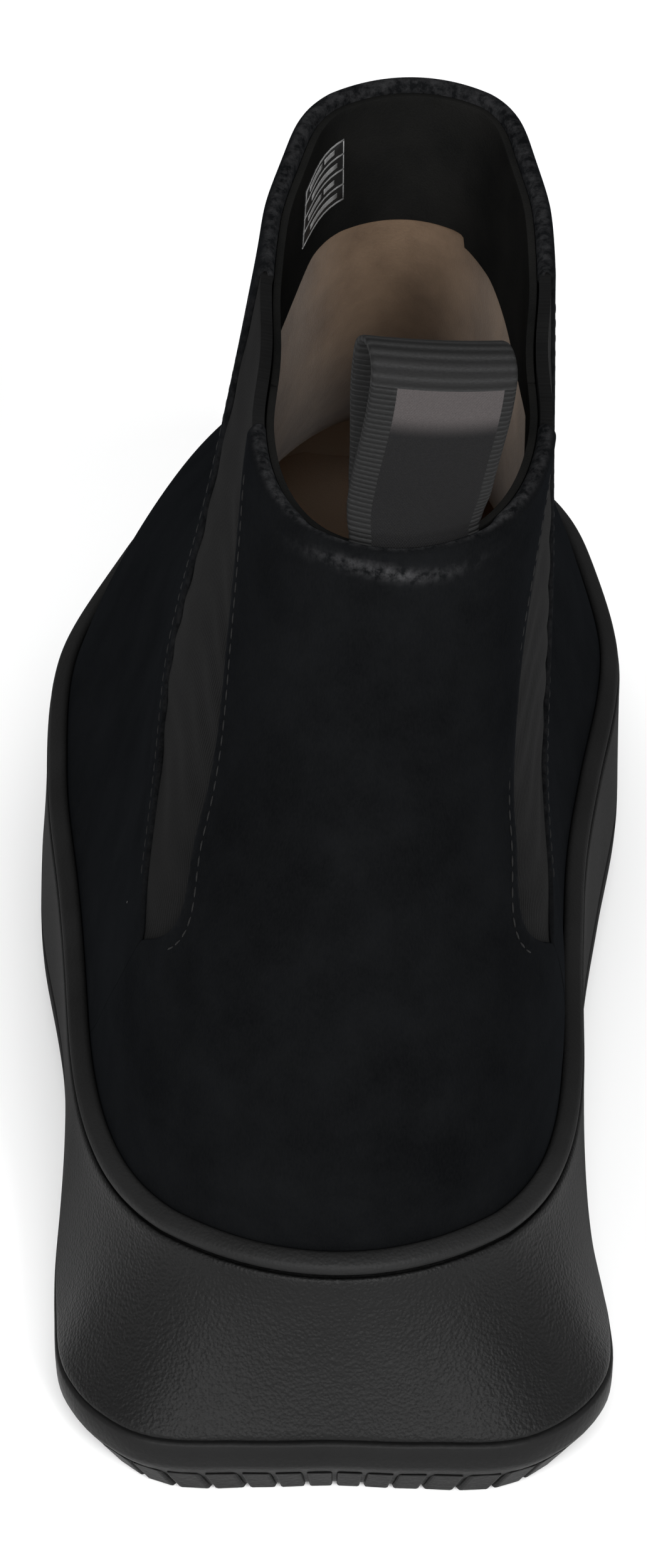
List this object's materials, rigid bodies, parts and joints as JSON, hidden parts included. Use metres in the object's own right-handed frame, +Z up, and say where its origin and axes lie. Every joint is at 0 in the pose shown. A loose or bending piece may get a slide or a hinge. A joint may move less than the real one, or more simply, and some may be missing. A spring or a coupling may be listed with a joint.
{
  "type": "chelsea ankle boot",
  "caption": "Left pull-on ankle boot in black suede, with elastic side gores, a webbing pull tab at the heel and a thick flared sole.",
  "frame": {"origin": "on the ground, under the middle of the boot's box", "axes": "+Z up, +Y from heel to toe, +X towards the inner side of the foot"},
  "size_m": [0.1042, 0.2683, 0.1834],
  "materials": {
    "suede_black": "napped suede",
    "elastic_grey": "ribbed elastic",
    "webbing_grey": "ribbed webbing",
    "facing_black": "smooth matt",
    "lining_tan": "brushed microfibre",
    "stiffener": "matt",
    "fibreboard": "matt",
    "cork": "granular",
    "foam": "matt foam",
    "sole_black": "pebble grained, semi-gloss",
    "outsole_black": "matt",
    "spring_steel": "brushed",
    "label_white": "printed film"
  },
  "bodies": {
    "boot": {"outsole": "outsole_black", "midsole": "sole_black", "rand": "sole_black", "shank": "spring_steel", "forefoot_filler": "cork", "insole_board": "fibreboard", "heel_cushion": "foam", "footbed": "lining_tan", "vamp": "suede_black", "heel_quarter": "suede_black", "lateral_gore": "elastic_grey", "medial_gore": "elastic_grey", "heel_counter": "stiffener", "toe_puff": "stiffener", "front_topline_tape": "stiffener", "lateral_topline_tape": "stiffener", "medial_topline_tape": "stiffener", "vamp_lining": "lining_tan", "quarter_lining": "lining_tan", "front_facing": "facing_black", "back_facing": "facing_black", "size_label": "label_white", "pull_tab_root": "webbing_grey"},
    "tab": {"pull_tab": "webbing_grey"}
  },
  "joints": [
    {"name": "pull_tab_fold", "type": "hinge", "parent": "boot", "child": "tab", "pos_m": [0.0115, -0.0986, 0.1519], "axis": [1, 0, 0], "range_deg": [-50, 75], "stiffness_Nm_per_rad": 0.01}
  ]
}
